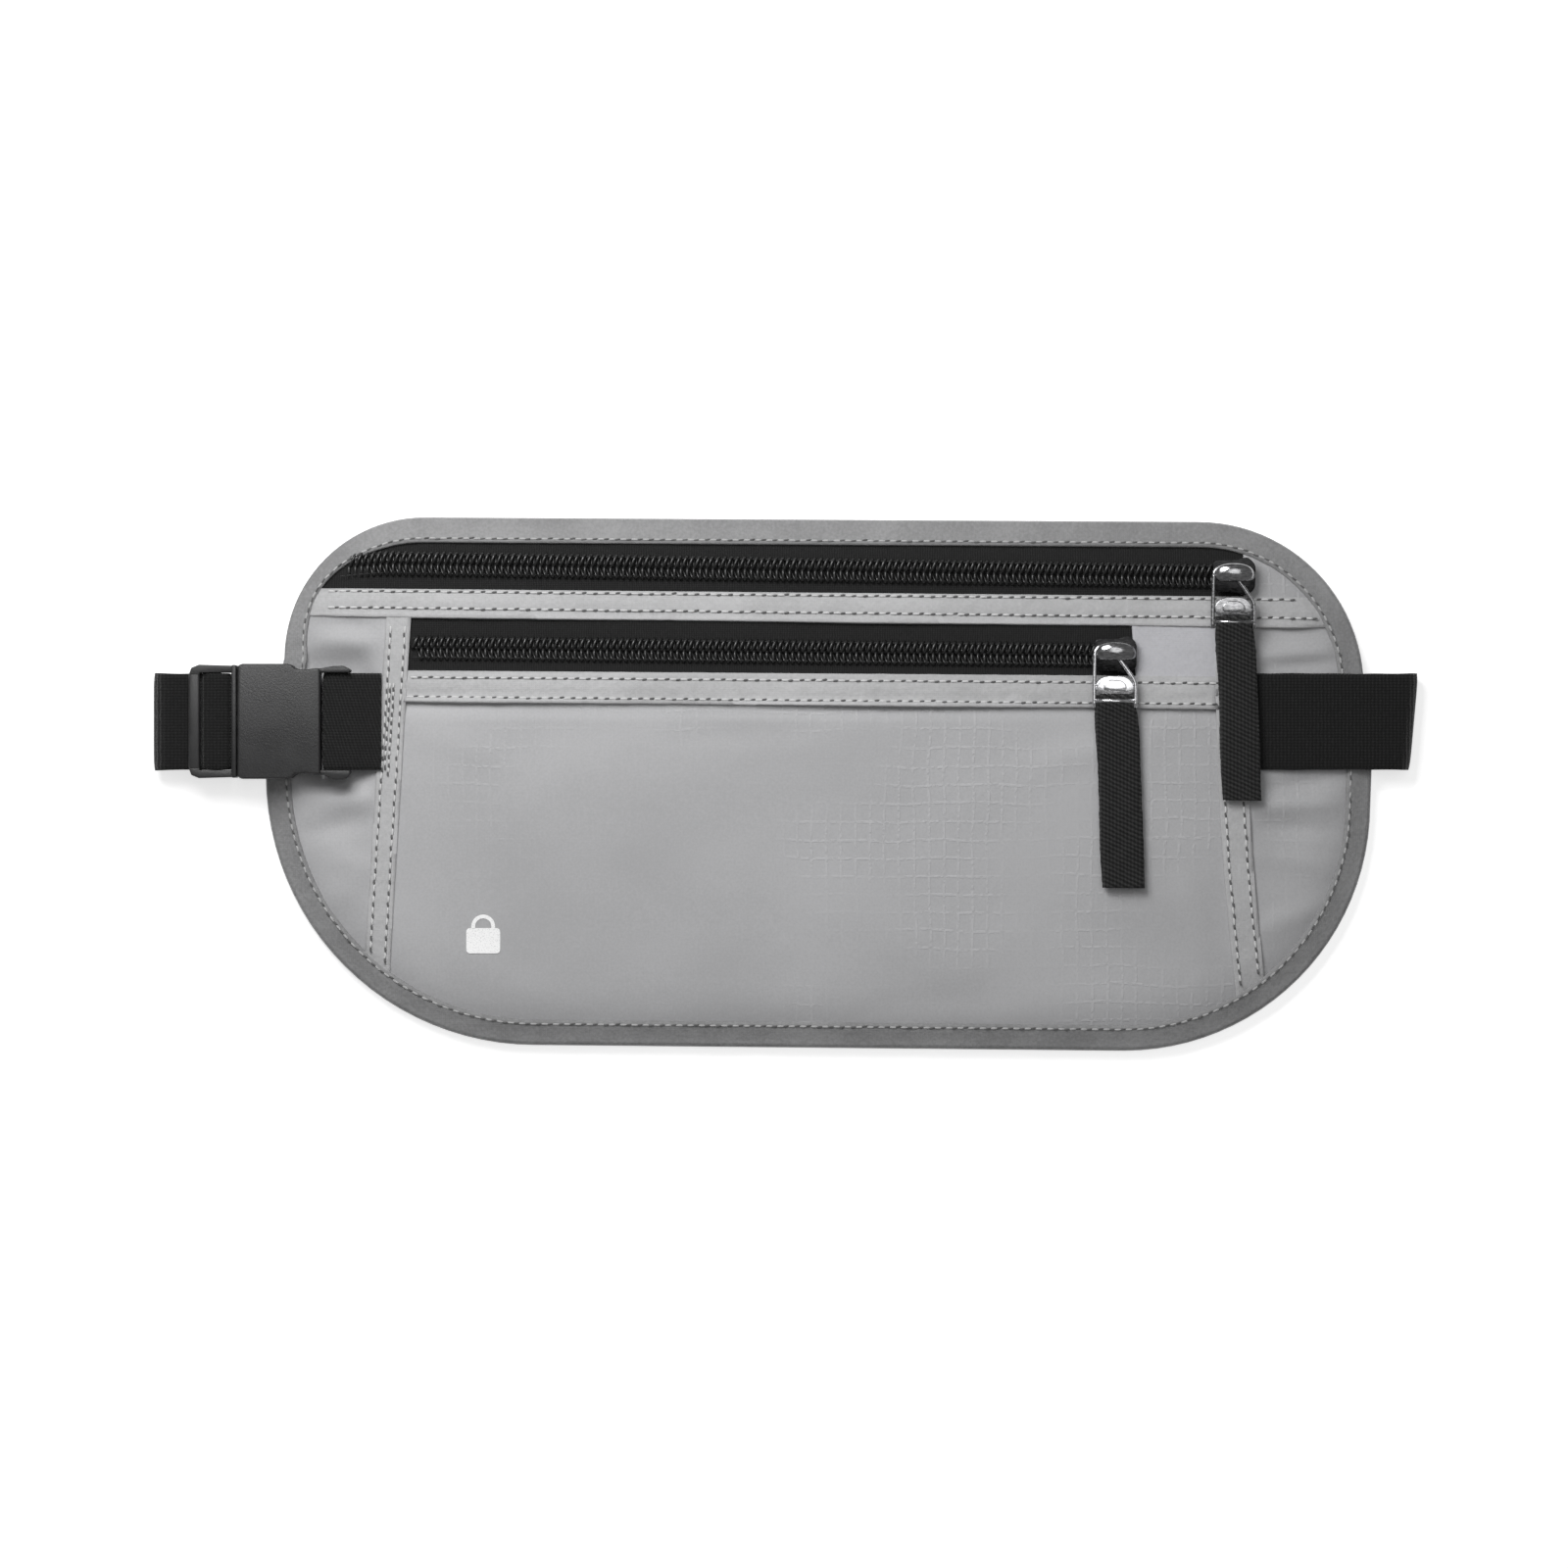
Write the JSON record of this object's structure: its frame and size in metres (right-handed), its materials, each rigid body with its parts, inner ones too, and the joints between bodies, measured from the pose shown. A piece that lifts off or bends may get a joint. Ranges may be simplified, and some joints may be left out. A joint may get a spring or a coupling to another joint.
{
  "type": "money belt",
  "caption": "Flat zipped waist pouch in light grey ripstop with two coil zips and an elastic belt closed by a side-release buckle.",
  "frame": {"origin": "on the resting plane, under the middle of the folded belt's length and the pouch's height", "axes": "+X towards the end where the sliders rest, +Y towards the top edge of the pouch, +Z out of its front"},
  "size_m": [0.3278, 0.139, 0.0144],
  "materials": {
    "shell_fabric": "light grey ripstop nylon, slightly shiny",
    "trim_fabric": "light grey plain nylon with two rows of stitching",
    "binding": "grey woven binding tape",
    "lining": "silver-grey signal-blocking lining",
    "zip_tape": "black woven polyester",
    "zip_coil": "black nylon coil",
    "webbing": "black woven webbing",
    "slider_metal": "dark nickel plating",
    "puller_metal": "bright nickel plating",
    "buckle_plastic": "dark grey moulded acetal, fine texture",
    "elastic_belt": "black ribbed elastic",
    "print": "white print"
  },
  "bodies": {
    "root": {"back_panel": "shell_fabric", "back_lining": "lining", "pocket_divider": "lining", "front_lining": "lining", "pocket_backing": "shell_fabric", "front_pocket_panel": "shell_fabric", "left_side_panel": "shell_fabric", "right_side_panel": "shell_fabric", "edge_binding": "binding", "top_zip_upper_tape": "zip_tape", "top_zip_lower_tape": "zip_tape", "top_zip_upper_coil": "zip_coil", "top_zip_lower_coil": "zip_coil", "front_zip_upper_tape": "zip_tape", "front_zip_lower_tape": "zip_tape", "front_zip_upper_coil": "zip_coil", "front_zip_lower_coil": "zip_coil", "top_facing_strip": "trim_fabric", "front_facing_strip": "trim_fabric", "left_side_strip": "trim_fabric", "right_side_strip": "trim_fabric", "top_zip_end_cover": "trim_fabric", "front_zip_end_cover": "trim_fabric", "printed_badge": "print", "buckle_tab": "webbing", "buckle_socket": "buckle_plastic", "strap_right_run": "elastic_belt"},
    "top_slider": {"top_slider": "slider_metal"},
    "top_puller": {"top_puller": "puller_metal"},
    "top_pull_tab": {"top_pull_tab": "webbing"},
    "front_slider": {"front_slider": "slider_metal"},
    "front_puller": {"front_puller": "puller_metal"},
    "front_pull_tab": {"front_pull_tab": "webbing"},
    "buckle_arm_upper": {"buckle_arm_upper": "buckle_plastic"},
    "buckle_arm_lower": {"buckle_arm_lower": "buckle_plastic"},
    "buckle_plug": {"buckle_plug": "buckle_plastic", "strap_left_run": "elastic_belt"}
  },
  "joints": [
    {"name": "top_slider_slide", "type": "slide", "parent": "root", "child": "top_slider", "axis": [-0.9999, 0.0157, 0], "range_m": [0, 0.208], "deforming": ["top_pull_tab"]},
    {"name": "top_puller_lift", "type": "hinge", "parent": "top_slider", "child": "top_puller", "pos_m": [0.11659, 0.05392, 0.012], "axis": [-0.9999, 0.0157, 0], "range_deg": [0, 115]},
    {"name": "top_tab_lift", "type": "hinge", "parent": "top_puller", "child": "top_pull_tab", "pos_m": [0.1164, 0.04192, 0.0109], "axis": [-0.9999, 0.0157, 0], "range_deg": [0, 60]},
    {"name": "front_slider_slide", "type": "slide", "parent": "root", "child": "front_slider", "axis": [-0.9999, 0.0105, 0], "range_m": [0, 0.172]},
    {"name": "front_puller_lift", "type": "hinge", "parent": "front_slider", "child": "front_puller", "pos_m": [0.0858, 0.0335, 0.012], "axis": [-0.9999, 0.0105, 0], "range_deg": [0, 115]},
    {"name": "front_tab_lift", "type": "hinge", "parent": "front_puller", "child": "front_pull_tab", "pos_m": [0.08567, 0.0215, 0.0109], "axis": [-0.9999, 0.0105, 0], "range_deg": [0, 60]},
    {"name": "buckle_slide", "type": "slide", "parent": "root", "child": "buckle_plug", "axis": [-1, 0, 0], "range_m": [0, 0.025], "deforming": ["buckle_arm_upper", "buckle_arm_lower"]},
    {"name": "upper_arm_squeeze", "type": "hinge", "parent": "buckle_plug", "child": "buckle_arm_upper", "pos_m": [-0.1401, 0.0252, 0.0109], "axis": [0, 0, -1], "range_deg": [0, 8], "stiffness_Nm_per_rad": 0.05},
    {"name": "lower_arm_squeeze", "type": "hinge", "parent": "buckle_plug", "child": "buckle_arm_lower", "pos_m": [-0.1401, 0.0072, 0.0109], "axis": [0, 0, 1], "range_deg": [0, 8], "stiffness_Nm_per_rad": 0.05}
  ]
}
